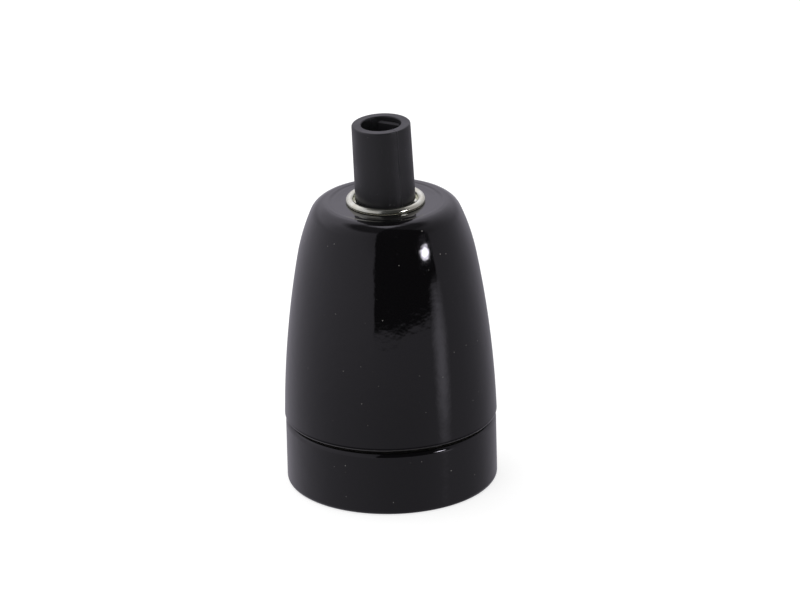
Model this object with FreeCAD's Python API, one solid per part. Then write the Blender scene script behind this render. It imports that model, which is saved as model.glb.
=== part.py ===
import FreeCAD, Part

import math
import os

# A porcelain pendant lamp holder for an E27 lamp, standing on its open mouth.
# Millimetres. +Z is up, along the holder's axis. The origin is the centre of the mouth's rim.

Vector = FreeCAD.Vector
same_place = 0.01          # mm, for finding an edge by its middle
X, Y, Z = Vector(1, 0, 0), Vector(0, 1, 0), Vector(0, 0, 1)

# ---------------------------------------------------------------- body, glazed porcelain
body_d = 47.0              # skirt ring, outside
ring_h = 15.0              # skirt ring, rim to shelf
ring_foot_round = 1.0
ring_shelf_round = 1.3
seam_gap = 0.3             # between the ring's shelf and the cap's lower edge
cap_overhang = 0.2         # the cap stands this far proud of the ring
cap_foot_round = 0.6
cap_leans = (1.28, 10.28, 23.35, 90.0)    # inward lean of the wall where each arc starts and ends
cap_arcs = (237.3, 48.5, 4.0)             # radii of the arcs between those leans
cap_top_t = 5.0            # thickness of the cap's flat top
cap_dish_depth = 0.05      # the flat top lies this far below its own edge
cap_dish_inset = 0.9       # and starts this far inside it
cap_bore_clear = 0.4       # radial, cap over the ring's neck
cap_shoulder_w = 2.0       # shoulder that holds the insert's flange
washer_seat_w = 0.4        # flat of the cap's ceiling beyond the fibre washer
key_w = 3.0                # two keys in the cap stop the insert from turning
key_h = 2.5
key_depth = 1.4            # into the insert's flange
key_clear = 0.3

# ---------------------------------------------------------------- ring's neck and mouth
neck_h = 13.0              # above the shelf
neck_wall = 3.9
neck_lead = 0.8
mouth_collar_w = 3.2       # the straight collar inside the rim is this much wider than the neck, radially
mouth_collar_h = 3.0
mouth_lip_round = 1.8
mouth_cone_h = 4.2         # from the collar up to the neck's bore

# ---------------------------------------------------------------- lamp shell, drawn sheet
shell_bore_d = 26.6        # E27, at the thread's major diameter; the thread itself is left plain
shell_t = 0.4
shell_mouth_z = 6.5
shell_flare = 0.6
shell_flare_h = 1.2
shell_flare_round = 2.0
shell_corner = 1.3
shell_flange_w = 1.4       # turned in beyond the corner
shell_clear = 1.3          # radial, shell in the neck's bore
ear_w = 4.4

# ---------------------------------------------------------------- insert, white porcelain
insert_flange_inset = 0.9  # from the neck's outside
insert_flange_h = 4.0
insert_spigot_h = 1.1      # locates in the neck's bore
insert_body_clear = 0.6    # radial, in the cap's cavity
insert_h = 15.6            # spigot to top
insert_clear = 0.3
insert_edge_round = 0.7
pocket_floor_h = 8.1       # above the spigot's face
pocket_side_clear = 0.5
barrier_w = 5.2            # wall between the two terminals

# ---------------------------------------------------------------- contacts and terminals
block_l, block_w, block_h = 6.4, 7.0, 7.0
block_corner = 0.4
wire_hole_d = 2.6
wire_hole_depth = 3.8
screw_d = 2.6              # fixing screws, plain shank for the thread
screw_head_d, screw_head_h = 3.8, 1.2
screw_end_h = 3.0          # how far a fixing screw reaches into its block
wire_screw_d = 2.4
wire_screw_head_d, wire_screw_head_h = 3.8, 1.5
wire_screw_travel = 2.0    # towards the wire
wire_screw_drop = 1.9      # below the top of the block
screw_slot_w, screw_slot_depth = 0.6, 0.6
thread_fit = 0.05          # radial, plain shank in plain hole
porcelain_hole_clear = 0.3
leaf_t, leaf_w = 0.4, 5.0
leaf_foot_l = 3.6
leaf_foot_round = 1.5
leaf_play = 0.3            # above and below the leaf's foot
leaf_drop = 2.9            # from the foot down to the contact point
leaf_bump_r = 2.0
leaf_slope = 38.0          # degrees, each side of the contact bump
leaf_tail = 0.7            # turned-up end
leaf_hole_clear = 0.25
rivet_d, rivet_head_d, rivet_head_h = 1.8, 3.0, 0.7
rivet_inset = 1.0          # from the edge of the shell's hole to the rivet's centre
rivet_angle = 125.0        # each side of the shell's terminal ear
rivet_seat_h = 3.6         # porcelain held between the rivet's heads
rivet_well_d = 4.4

# ---------------------------------------------------------------- cord grip, plastic
grip_lean = 1.9            # degrees, towards -X, from the play in its thread
grip_h = 18.2
grip_foot_d, grip_top_d = 13.4, 13.1
grip_foot_round, grip_top_round, grip_mouth_round = 0.5, 0.35, 0.3
grip_bore_d = 8.9
grip_floor_h = 1.2         # step at the bottom of the bore
grip_seat_gap = 0.05       # where the leaning foot comes nearest to the bush
stud_play = 0.25           # radial, stud in the bush
stud_wall = 0.85
stud_h, stud_lead = 6.8, 0.5
tongue_angle = 58.6        # from +X towards +Y
tongue_segment = 1.2       # inner face to the wall of the bore, at the middle
tongue_t = 0.7
tongue_clear = 0.1
tongue_foot_gap = 0.3      # above the bore's floor, for its swing
tongue_top_inset = 1.0     # below the grip's mouth
grip_screw_d, grip_screw_l = 4.8, 3.5
grip_screw_z = 11.0        # above the grip's foot
grip_screw_tip_d, grip_screw_tip_l = 1.8, 0.8
grip_screw_lead = 0.4
grip_screw_gap = 0.15      # tip to tongue
grip_screw_slot_w, grip_screw_slot_depth = 0.9, 1.0

# ---------------------------------------------------------------- bush in the cap's top, steel
bush_bore_d = 10.0         # M10 x 1, left plain
bush_wall = 1.4
bush_rim_w, bush_rim_h = 1.75, 1.15
bush_rim_round = 0.4       # under the rim, at its outer side
bush_dish_clear = 0.4      # radial, rolled rim round the grip's foot
bush_dish_depth = 0.1      # below the porcelain's top
bush_web_t = 0.6
bush_clear = 0.3           # radial, shank in the porcelain
washer_t, washer_overlap = 0.8, 2.9
lock_washer_t, lock_washer_overlap, lock_washer_gap = 0.8, 2.3, 1.2
nut_wall, nut_h = 1.6, 2.8
shank_end = 0.5            # stands out below the nut

# ---------------------------------------------------------------- worked out from the above
body_r = body_d / 2
cap_foot_z = ring_h + seam_gap
neck_top_z = ring_h + neck_h
shell_r = shell_bore_d / 2
shell_hole_r = shell_r - shell_corner - shell_flange_w
neck_bore_r = shell_r + shell_t + shell_clear
neck_r = neck_bore_r + neck_wall
cap_bore_r = neck_r + cap_bore_clear
flange_r = neck_r - insert_flange_inset
cap_cavity_r = flange_r - cap_shoulder_w
insert_z = neck_top_z - insert_spigot_h
flange_top_z = neck_top_z + insert_flange_h
shoulder_z = flange_top_z + insert_clear
pocket_z = insert_z + pocket_floor_h
insert_top_z = insert_z + insert_h
shell_top_z = insert_z
foot_play_z = insert_z - leaf_play
block_x = barrier_w / 2 + pocket_side_clear + block_l / 2     # centre of each terminal block
wire_screw_z = pocket_z + block_h - wire_screw_drop
rivet_circle_r = shell_hole_r - rivet_inset
bush_dish_r = grip_foot_d / 2 + bush_dish_clear
bush_rim_r = bush_dish_r + bush_rim_w
shank_r = bush_bore_d / 2 + bush_wall
bush_hole_r = shank_r + bush_clear
washer_r = bush_hole_r + washer_overlap
stud_r = bush_bore_d / 2 - stud_play
tongue_offset = grip_bore_d / 2 - tongue_segment              # inner face from the grip's axis


# ================================================================ helpers
def rounded_wire(corners):
    """Closed wire in the XZ plane through (x, z, radius) corners, each rounded by its radius."""
    points = [Vector(x, 0, z) for x, z, _ in corners]
    joints = []
    for i, (_, _, radius) in enumerate(corners):
        here = points[i]
        back = (points[i - 1] - here).normalize()
        on = (points[(i + 1) % len(points)] - here).normalize()
        if radius == 0:
            joints.append((here, None, here))
            continue
        half = back.getAngle(on) / 2
        reach = radius / math.tan(half)
        middle = here + (back + on).normalize() * (radius / math.sin(half) - radius)
        joints.append((here + back * reach, middle, here + on * reach))
    edges = []
    for i, (start, middle, end) in enumerate(joints):
        if middle is not None:
            edges.append(Part.Arc(start, middle, end).toShape())
        following = joints[(i + 1) % len(joints)][0]
        if end.distanceToPoint(following) > 1e-6:
            edges.append(Part.makeLine(end, following))
    return Part.Wire(edges)


def turned(corners):
    """Solid of revolution about Z of a rounded outline."""
    return Part.Face(rounded_wire(corners)).revolve(Vector(), Z, 360)


def ring(outer_r, inner_r, z, height):
    """Plain ring standing on z."""
    ring_solid = Part.makeCylinder(outer_r, height, Vector(0, 0, z))
    return ring_solid.cut(Part.makeCylinder(inner_r, height, Vector(0, 0, z)))


def box(x_low, x_high, y_low, y_high, z_low, z_high):
    """Box between two corners."""
    return Part.makeBox(x_high - x_low, y_high - y_low, z_high - z_low, Vector(x_low, y_low, z_low))


def turn(shape, degrees):
    """Copy of a shape turned about Z."""
    copy = shape.copy()
    copy.rotate(Vector(), Z, degrees)
    return copy


def slotted_screw(head_d, head_h, shank_d, shank_l, slot_w, slot_depth):
    """Cheese-head screw along +Z: head from 0 down, shank from 0 up, slot across the head."""
    lead = shank_d / 8
    screw = turned([
        (0, -head_h, 0), (head_d / 2 - lead, -head_h, 0), (head_d / 2, lead - head_h, 0), (head_d / 2, 0, 0),
        (shank_d / 2, 0, 0), (shank_d / 2, shank_l - lead, 0), (shank_d / 2 - lead, shank_l, 0), (0, shank_l, 0)])
    slot = box(-head_d, head_d, -slot_w / 2, slot_w / 2, -head_h, slot_depth - head_h)
    return screw.cut(slot)


def tangent_arcs(start, leans, radii):
    """Arc edges in the XZ plane that climb from start, leaning inward from one lean to the next."""
    edges = []
    for lean, next_lean, radius in zip(leans, leans[1:], radii):
        angles = [math.radians(lean + (next_lean - lean) * step / 2) for step in range(3)]
        centre = start - Vector(math.cos(angles[0]), 0, math.sin(angles[0])) * radius
        on_arc = [centre + Vector(math.cos(a), 0, math.sin(a)) * radius for a in angles]
        edges.append(Part.Arc(*on_arc).toShape())
        start = on_arc[2]
    return edges, start


# ================================================================ porcelain body
def cap_profile():
    """Outer edges of the cap from its lower edge to the middle of its slightly dished top."""
    foot = Vector(body_r + cap_overhang, 0, cap_foot_z + cap_foot_round)
    low = Vector(foot.x - cap_foot_round, 0, cap_foot_z)
    diagonal = cap_foot_round * math.sqrt(0.5)
    low_mid = Vector(low.x + diagonal, 0, foot.z - diagonal)
    arcs, shoulder = tangent_arcs(foot, cap_leans, cap_arcs)
    edge = shoulder - Vector(cap_dish_inset / 3, 0, 0)
    dish = shoulder - Vector(cap_dish_inset, 0, cap_dish_depth)
    slope = Part.BSplineCurve()
    slope.interpolate(Points=[edge, (edge + dish) / 2, dish],
                      InitialTangent=Vector(-1, 0, 0), FinalTangent=Vector(-1, 0, 0))
    middle = Vector(0, 0, dish.z)
    edges = [Part.Arc(low, low_mid, foot).toShape(), *arcs, Part.makeLine(shoulder, edge),
             slope.toShape(), Part.makeLine(dish, middle)]
    return low, edges, middle


def make_cap():
    """Cap: domed wall, threaded bore for the neck, shoulder over the insert, keys and bush hole."""
    low, edges, middle = cap_profile()
    axis_foot = Vector(0, 0, cap_foot_z)
    outline = Part.Wire([Part.makeLine(axis_foot, low), *edges, Part.makeLine(middle, axis_foot)])
    cap = Part.Face(outline).revolve(Vector(), Z, 360)
    ceiling_z = middle.z - cap_top_t
    cap = cap.cut(turned([
        (0, cap_foot_z - 1, 0), (cap_bore_r + neck_lead + 1, cap_foot_z - 1, 0),
        (cap_bore_r, cap_foot_z + neck_lead, 0), (cap_bore_r, shoulder_z, 0), (cap_cavity_r, shoulder_z, 0),
        (cap_cavity_r, ceiling_z, cap_cavity_r - washer_r - washer_seat_w),
        (0, ceiling_z, 0)]))
    dish_r = bush_dish_r + bush_web_t + bush_clear
    dish_z = middle.z - bush_dish_depth - bush_web_t
    cap = cap.cut(turned([
        (0, ceiling_z - 1, 0), (bush_hole_r, ceiling_z - 1, 0), (bush_hole_r, dish_z, 0),
        (dish_r, dish_z, 0), (dish_r, middle.z + 1, 0), (0, middle.z + 1, 0)]))
    key = box(flange_r - key_depth, cap_bore_r + 0.5, -key_w / 2, key_w / 2, shoulder_z - key_h, shoulder_z)
    return cap.fuse([key, turn(key, 180)]).removeSplitter()


def make_skirt_ring():
    """Ring with its shelf, the neck that screws into the cap, and the mouth for the lamp."""
    mouth_r = neck_bore_r + mouth_collar_w
    collar_z = mouth_lip_round + mouth_collar_h
    cone_z = collar_z + mouth_cone_h
    return turned([
        (body_r, 0, ring_foot_round), (body_r, ring_h, ring_shelf_round), (neck_r, ring_h, 0),
        (neck_r, neck_top_z, neck_lead), (neck_bore_r, neck_top_z, 0), (neck_bore_r, cone_z, 0),
        (mouth_r, collar_z, 0), (mouth_r, 0, mouth_lip_round)])


# ================================================================ insert
def make_insert():
    """Insert: spigot and clamped flange below, two open terminal pockets above."""
    spigot_r = neck_bore_r - insert_clear
    top_r = cap_cavity_r - insert_body_clear
    core = turned([
        (0, insert_z, 0), (spigot_r, insert_z, 0), (spigot_r, neck_top_z, 0), (flange_r, neck_top_z, 0),
        (flange_r, flange_top_z, insert_edge_round), (top_r, flange_top_z, 0),
        (top_r, insert_top_z, insert_edge_round), (0, insert_top_z, 0)])
    pocket_w = block_w + 2 * pocket_side_clear
    pocket = box(barrier_w / 2, 2 * flange_r, -pocket_w / 2, pocket_w / 2, pocket_z, insert_top_z + 1)
    notch_w = key_w + 2 * key_clear
    notch = box(flange_r - key_depth - key_clear, 2 * flange_r, -notch_w / 2, notch_w / 2,
                neck_top_z - 1, flange_top_z + 1)
    hole_r = screw_d / 2 + porcelain_hole_clear
    screw_hole = Part.makeCylinder(hole_r, insert_h, Vector(block_x, 0, insert_z - 1))
    cuts = [turn(shape, side) for shape in (pocket, notch, screw_hole) for side in (0, 180)]
    rivet_place = Vector(rivet_circle_r, 0, insert_z)
    rivet_hole = Part.makeCylinder(rivet_d / 2 + thread_fit, insert_h, rivet_place - Z)
    rivet_well = Part.makeCylinder(rivet_well_d / 2, insert_h, rivet_place + Z * rivet_seat_h)
    cuts += [turn(shape, angle) for shape in (rivet_hole, rivet_well) for angle in (rivet_angle, -rivet_angle)]
    return core.cut(cuts)


def make_rivet(angle):
    """Rivet through one of the shell's ears and the floor of the insert, closed at both ends."""
    head_z = shell_top_z - shell_t
    shank_top = insert_z + rivet_seat_h
    rivet = turned([
        (0, head_z - rivet_head_h, 0), (rivet_head_d / 2, head_z - rivet_head_h, 0.45),
        (rivet_head_d / 2, head_z, 0), (rivet_d / 2, head_z, 0), (rivet_d / 2, shank_top, 0),
        (rivet_head_d / 2, shank_top, 0), (rivet_head_d / 2, shank_top + rivet_head_h, 0.45),
        (0, shank_top + rivet_head_h, 0)])
    rivet.translate(Vector(rivet_circle_r, 0, 0))
    return turn(rivet, angle)


# ================================================================ lamp shell
def make_screw_shell():
    """E27 shell: drawn sheet with a flared mouth, and three ears turned in at its closed end."""
    inner_z = shell_top_z - shell_t
    flare_z = shell_mouth_z + shell_flare_h
    outer_r = shell_r + shell_t
    shell = turned([
        (shell_r + shell_flare, shell_mouth_z, 0), (outer_r + shell_flare, shell_mouth_z, 0),
        (outer_r, flare_z, shell_flare_round), (outer_r, shell_top_z, shell_corner + shell_t),
        (0, shell_top_z, 0), (0, inner_z, 0),
        (shell_r, inner_z, shell_corner), (shell_r, flare_z, shell_flare_round + shell_t)])
    opening = Part.makeCylinder(shell_hole_r, 2, Vector(0, 0, shell_top_z - 1))
    for angle, reach in ((0, block_x), (rivet_angle, rivet_circle_r), (-rivet_angle, rivet_circle_r)):
        ear = box(reach, shell_hole_r + 1, -ear_w / 2, ear_w / 2, shell_top_z - 2, shell_top_z + 2)
        ear = ear.fuse(Part.makeCylinder(ear_w / 2, 4, Vector(reach, 0, shell_top_z - 2)))
        opening = opening.cut(turn(ear, angle))
    shell = shell.cut(opening)
    holes = [Part.makeCylinder(screw_d / 2 + thread_fit, 4, Vector(block_x, 0, shell_top_z - 2))]
    rivet_hole = Part.makeCylinder(rivet_d / 2 + thread_fit, 4, Vector(rivet_circle_r, 0, shell_top_z - 2))
    holes += [turn(rivet_hole, rivet_angle), turn(rivet_hole, -rivet_angle)]
    return shell.cut(holes)


# ================================================================ contacts and terminals
def make_centre_contact():
    """Springy leaf: flat foot under the insert, slope, rounded contact bump and turned-up end."""
    foot_top = foot_play_z
    foot_start = -block_x - leaf_foot_l / 2
    foot_end = -block_x + leaf_foot_l / 2
    low = foot_top - leaf_drop
    bump_reach = leaf_bump_r * math.sin(math.radians(leaf_slope))
    bump_rise = leaf_bump_r * (1 - math.cos(math.radians(leaf_slope)))
    bump_edge_z = low + bump_rise
    bump = [Vector(-bump_reach, 0, bump_edge_z), Vector(0, 0, low), Vector(bump_reach, 0, bump_edge_z)]
    tail = bump[2] + Vector(leaf_tail, 0, leaf_tail)
    spine = Part.Wire([
        Part.makeLine(Vector(foot_start, 0, foot_top), Vector(foot_end, 0, foot_top)),
        Part.makeLine(Vector(foot_end, 0, foot_top), bump[0]), Part.Arc(*bump).toShape(),
        Part.makeLine(bump[2], tail)])
    band = spine.makeOffset2D(-leaf_t, join=2, fill=True, openResult=True)
    leaf = band.extrude(Vector(0, leaf_w, 0))
    leaf.translate(Vector(0, -leaf_w / 2, 0))
    end_edges = [edge for edge in leaf.Edges
                 if edge.BoundBox.XMax < foot_start + same_place and edge.BoundBox.ZLength > leaf_t / 2]
    leaf = leaf.makeFillet(leaf_foot_round, end_edges)
    foot_hole = Part.makeCylinder(screw_d / 2 + leaf_hole_clear, 2, Vector(-block_x, 0, foot_top - 1))
    return leaf.cut(foot_hole)


def make_terminal(side):
    """Brass block with a wire hole from above, a wire screw hole from its side and one from below."""
    half_l, half_w = block_l / 2, block_w / 2
    block = box(block_x - half_l, block_x + half_l, -half_w, half_w, pocket_z, pocket_z + block_h)
    uprights = [edge for edge in block.Edges if edge.BoundBox.ZLength > block_h / 2]
    block = block.makeChamfer(block_corner, uprights)
    wire_hole_z = pocket_z + block_h - wire_hole_depth
    wire_screw_place = Vector(block_x, 0, wire_screw_z)
    holes = [Part.makeCylinder(wire_hole_d / 2, block_h, Vector(block_x, 0, wire_hole_z)),
             Part.makeCylinder(screw_d / 2 + thread_fit, screw_end_h + 0.2, Vector(block_x, 0, pocket_z)),
             Part.makeCylinder(wire_screw_d / 2 + thread_fit, block_l, wire_screw_place, X)]
    return turn(block.cut(holes), side)


def make_wire_screw(side):
    """Wire screw in the block's outer side, backed off until its tip is flush with the wire hole."""
    tip_x = block_x + wire_hole_d / 2
    shank_l = block_x + block_l / 2 + wire_screw_travel + 2 * thread_fit - tip_x
    screw = slotted_screw(
        wire_screw_head_d, wire_screw_head_h, wire_screw_d, shank_l, screw_slot_w, screw_slot_depth)
    screw.rotate(Vector(), Y, -90)
    screw.translate(Vector(tip_x + shank_l, 0, wire_screw_z))
    return turn(screw, side)


def make_fixing_screw(side, head_top_z):
    """Screw up through the insert into a terminal block, with its head at the given height."""
    screw = slotted_screw(screw_head_d, screw_head_h, screw_d, pocket_z + screw_end_h - head_top_z,
                          screw_slot_w, screw_slot_depth)
    screw.translate(Vector(block_x, 0, head_top_z))
    return turn(screw, side)


# ================================================================ bush and its fixings
def make_bush(top_z):
    """Steel bush: rolled rim on the porcelain, dished web inside it, and a bored shank."""
    rim_r, dish_r = bush_rim_r, bush_dish_r
    web_z = top_z - bush_dish_depth
    shank_z = nut_bottom_z(top_z) - shank_end
    side_z = top_z + bush_rim_round
    outer_side, inner_side = Vector(rim_r, 0, side_z), Vector(dish_r, 0, side_z)
    crown = Part.Arc(outer_side, Vector((rim_r + dish_r) / 2, 0, top_z + bush_rim_h), inner_side).toShape()
    under = Vector(rim_r - bush_rim_round, 0, top_z)
    diagonal = bush_rim_round * math.sqrt(0.5)
    curl = Part.Arc(under, Vector(under.x + diagonal, 0, side_z - diagonal), outer_side).toShape()
    corners = [(dish_r, web_z), (bush_bore_d / 2, web_z), (bush_bore_d / 2, shank_z), (shank_r, shank_z),
               (shank_r, web_z - bush_web_t), (dish_r + bush_web_t, web_z - bush_web_t),
               (dish_r + bush_web_t, top_z)]
    path = [inner_side, *(Vector(r, 0, z) for r, z in corners), under]
    edges = [Part.makeLine(a, b) for a, b in zip(path, path[1:])]
    return Part.Face(Part.Wire([crown, *edges, curl])).revolve(Vector(), Z, 360)


def nut_bottom_z(top_z):
    """Underside of the nut, below the cap's top, the fibre washer and the lock washer."""
    return top_z - cap_top_t - washer_t - lock_washer_t - nut_h


def make_washer(top_z):
    """Fibre washer against the porcelain."""
    return ring(washer_r, bush_hole_r, top_z - cap_top_t - washer_t, washer_t)


def make_lock_washer(top_z):
    """Split spring washer."""
    z = top_z - cap_top_t - washer_t - lock_washer_t
    outer_r = bush_hole_r + lock_washer_overlap
    washer = ring(outer_r, bush_hole_r, z, lock_washer_t)
    split = box(0, 2 * outer_r, -lock_washer_gap / 2, lock_washer_gap / 2, z - 1, z + lock_washer_t + 1)
    split.rotate(Vector(outer_r, 0, z), X, 25)
    return washer.cut(split)


def make_nut(top_z):
    """Hexagon nut with chamfered corners on the bush's shank."""
    z = nut_bottom_z(top_z)
    flat_r = shank_r + nut_wall
    corner_r = 2 * flat_r / math.sqrt(3)
    corners = [Vector(corner_r * math.cos(math.radians(a)), corner_r * math.sin(math.radians(a)), z)
               for a in range(0, 361, 60)]
    nut = Part.Face(Part.makePolygon(corners)).extrude(Vector(0, 0, nut_h))
    drop = (corner_r - flat_r) * math.tan(math.radians(30))
    crown = turned([(0, z, 0), (flat_r, z, 0), (corner_r, z + drop, 0), (corner_r, z + nut_h - drop, 0),
                    (flat_r, z + nut_h, 0), (0, z + nut_h, 0)])
    return nut.common(crown).cut(Part.makeCylinder(shank_r + thread_fit, nut_h, Vector(0, 0, z)))


# ================================================================ cord grip, built upright on its own foot
def make_grip_body():
    """Tube with a bored stud below and the screw's hole in its side."""
    foot_r, top_r, bore_r = grip_foot_d / 2, grip_top_d / 2, grip_bore_d / 2
    stud_bore_r = stud_r - stud_wall
    body = turned([
        (stud_bore_r, -stud_h, 0), (stud_r - stud_lead, -stud_h, 0), (stud_r, stud_lead - stud_h, 0),
        (stud_r, 0, 0), (foot_r, 0, grip_foot_round), (top_r, grip_h, grip_top_round),
        (bore_r, grip_h, grip_mouth_round), (bore_r, grip_floor_h, 0), (stud_bore_r, grip_floor_h, 0)])
    hole = Part.makeCylinder(grip_screw_d / 2 + thread_fit, foot_r + 1, Vector(0, 0, grip_screw_z), X)
    return body.cut(turn(hole, tongue_angle))


def make_tongue():
    """Pressure tongue: a strip that fills a thin segment of the bore and stands on its floor."""
    foot_z = grip_floor_h + tongue_foot_gap
    top_z = grip_h - tongue_top_inset
    tongue = Part.makeCylinder(grip_bore_d / 2 - tongue_clear, top_z - foot_z, Vector(0, 0, foot_z))
    tongue = tongue.common(box(tongue_offset, tongue_offset + tongue_t, -grip_bore_d, grip_bore_d, 0, grip_h))
    top_edge = [edge for edge in tongue.Edges
                if edge.CenterOfMass.isEqual(Vector(tongue_offset, 0, top_z), same_place)]
    return turn(tongue.makeChamfer(tongue_t / 2, top_edge), tongue_angle)


def make_grip_screw():
    """Headless slotted screw in the grip's side, with a short round tip against the tongue."""
    tip_x = tongue_offset + tongue_t + grip_screw_gap
    screw_r, tip_r = grip_screw_d / 2, grip_screw_tip_d / 2
    lead = grip_screw_lead
    screw = turned([
        (0, 0, 0), (tip_r, 0, 0), (tip_r, grip_screw_tip_l, 0), (screw_r, grip_screw_tip_l + lead, 0),
        (screw_r, grip_screw_l - lead, 0), (screw_r - lead, grip_screw_l, 0), (0, grip_screw_l, 0)])
    slot = box(-screw_r, screw_r, -grip_screw_slot_w / 2, grip_screw_slot_w / 2,
               grip_screw_l - grip_screw_slot_depth, grip_screw_l + 1)
    screw = screw.cut(slot)
    screw.rotate(Vector(), Y, 90)
    screw.translate(Vector(tip_x, 0, grip_screw_z))
    return turn(screw, tongue_angle)


def on_grip(shape, top_z):
    """Shape of the cord grip moved from its own foot to its leaning seat on the bush."""
    lift = grip_foot_d / 2 * math.sin(math.radians(grip_lean)) + grip_seat_gap
    shape.rotate(Vector(), Y, -grip_lean)
    shape.translate(Vector(0, 0, top_z - bush_dish_depth + lift))
    return shape


# ================================================================ nodes
def make_nodes():
    """Every piece of the holder by name."""
    top_z = cap_profile()[2].z
    nodes = {
        "dome_cap": make_cap(),
        "skirt_ring": make_skirt_ring(),
        "insert_core": make_insert(),
        "screw_shell": make_screw_shell(),
        "centre_contact": make_centre_contact(),
        "contact_screw": make_fixing_screw(180, foot_play_z - leaf_t - leaf_play),
        "shell_screw": make_fixing_screw(0, shell_top_z - shell_t),
        "shell_rivet_1": make_rivet(rivet_angle),
        "shell_rivet_2": make_rivet(-rivet_angle),
        "live_terminal": make_terminal(180),
        "neutral_terminal": make_terminal(0),
        "live_wire_screw": make_wire_screw(180),
        "neutral_wire_screw": make_wire_screw(0),
        "entry_bush": make_bush(top_z),
        "entry_washer": make_washer(top_z),
        "lock_washer": make_lock_washer(top_z),
        "entry_nut": make_nut(top_z),
        "grip_body": on_grip(make_grip_body(), top_z),
        "grip_screw": on_grip(make_grip_screw(), top_z),
        "clamp_tongue": on_grip(make_tongue(), top_z),
    }
    return nodes


def main():
    """Write one STEP file for each node."""
    os.makedirs("parts", exist_ok=True)
    for name, shape in make_nodes().items():
        solids = shape.Solids
        shape = solids[0] if len(solids) == 1 else Part.makeCompound(solids)
        shape.exportStep(os.path.join("parts", name + ".step"))
        print(name, len(solids), shape.isValid(), round(shape.Volume, 1), shape.BoundBox)


main()
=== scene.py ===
import bpy
import math
from mathutils import Matrix, Vector


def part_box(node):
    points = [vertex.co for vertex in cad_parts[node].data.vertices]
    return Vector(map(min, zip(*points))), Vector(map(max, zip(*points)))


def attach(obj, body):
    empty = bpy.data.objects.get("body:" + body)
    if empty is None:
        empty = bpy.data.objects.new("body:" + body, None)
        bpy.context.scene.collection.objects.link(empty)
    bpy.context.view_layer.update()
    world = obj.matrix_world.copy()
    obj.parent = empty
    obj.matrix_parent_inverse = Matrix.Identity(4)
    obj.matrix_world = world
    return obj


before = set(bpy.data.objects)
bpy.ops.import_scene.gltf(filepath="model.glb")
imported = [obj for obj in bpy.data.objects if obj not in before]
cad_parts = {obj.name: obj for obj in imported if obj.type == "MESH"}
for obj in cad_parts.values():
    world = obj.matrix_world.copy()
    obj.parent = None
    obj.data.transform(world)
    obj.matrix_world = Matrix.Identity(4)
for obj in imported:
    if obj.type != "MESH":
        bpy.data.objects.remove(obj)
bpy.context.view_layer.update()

bl_info = {
    "name": "Porcelain lamp holder",
    "version": (1, 0, 0),
    "blender": (4, 5, 0),
    "location": "View3D > Sidebar > Lamp holder",
    "description": "Glaze, metals and plastics of a pendant lamp holder, with its rolled thread and studio",
    "category": "Object",
}

MM = 0.001
FULL_TURN = 2 * math.pi

# Where the glaze ends, in millimetres: (radius or height, width of the soft edge).
CAP_BORE_R = (20.75, 0.3)
CAP_SHOULDER_Z = (33.5, 0.2)
CAP_CAVITY_R = (16.4, 0.2)
CAP_CEILING_Z = (60.8, 0.2)
CAP_HOLE_R = (8.7, 0.2)
CAP_FOOT_Z = (15.335, 0.05)
NECK_Z = (15.07, 0.1)
NECK_R = (19.45, 0.3)
RING_FOOT_Z = (0.035, 0.03)
RING_BORE_R = (15.75, 0.3)
RING_BORE_Z = (8.2, 0.4)
OUTER_WALL_R = (22.9, 0.2)

# Marks in the glaze, painted highlight and painted shade among them, in millimetres: (middle, half width,
# width of the soft edge).
EDGE_HIGHLIGHT_Z = (15.62, 0.07, 0.12)         # painted highlight: a pale line in the glaze along the cap's lower edge
SEAM_SHADE_CAP_Z = (15.98, 0.16, 0.16)      # painted shade: bands beside the seam, on the cap and on the ring, where the glaze's shine is made black
SEAM_SHADE_RING_Z = (14.72, 0.14, 0.16)
POOLED_RINGS_R = (12.6, 1.3, 1.6)         # low rings round the flat top
POOLED_RING_STEP, POOLED_RING_SWAY, POOLED_RING_RISE = 1.3, 1.2, 0.008
FLAT_TOP_Z = (64.5, 1.0)
DISH_R = (10.0, 13.0)                     # the flat top's edge rises between these radii
DISH_RISE = 0.115
EDGE_HIGHLIGHT_SHARE = 0.3                     # how pale the painted highlight on the cap's lower edge is
SEAM_SHADE_SHARE = 0.7                      # how much of the shine the painted shade beside the seam takes away
WAVE_DEPTH, PIT_DEPTH, BARE_GRAIN_DEPTH = 0.055, 0.035, 0.05

# Roughness of the finishes, where two figures are the two ends of a slow mottle.
GLAZE_ROUGHNESS = (0.035, 0.075)
BARE_ROUGHNESS = 0.62
PORCELAIN_ROUGHNESS = (0.32, 0.45)
PLASTIC_ROUGHNESS = (0.34, 0.44)
SPECK_ROUGHNESS = 0.25                    # added by a speck
MARKS_ROUGHNESS = 0.10                    # added by a turning mark
PORCELAIN_SPECK = (0.25, 0.21, 0.16)
PLASTIC_DUST = (0.16, 0.16, 0.17)

# The coarse thread on the ring's neck.
NECK_THREAD_END = 1.6 * MM
RIB_SUNK = 0.05 * MM
RIB_HALF_WIDTH = 1.15 * MM
RIB_STEPS = 96                            # in one turn
RIB_POINTS = 9                            # across the rib
RIB_TAPER = 1 / 14                        # of its length, at each end

# The rolled thread: the shell's plain ends, the run-in as a share of the pitch, and the mesh's grid.
SHELL_LOW_END, SHELL_HIGH_END = 2.6 * MM, 2.2 * MM
THREAD_RUN_IN = 0.6
THREAD_ROWS, THREAD_COLUMNS = 120, 144

# The cord grip, which leans in its thread.
GRIP_LEAN = math.radians(1.9)
GRIP_SEAT_Z = 66.05 * MM
GRIP_SEAM = math.radians(33)
GRIP_SEAM_HALF = 0.10
GRIP_SEAM_SOFT = 0.12
GRIP_SEAM_RISE = 0.06


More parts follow.
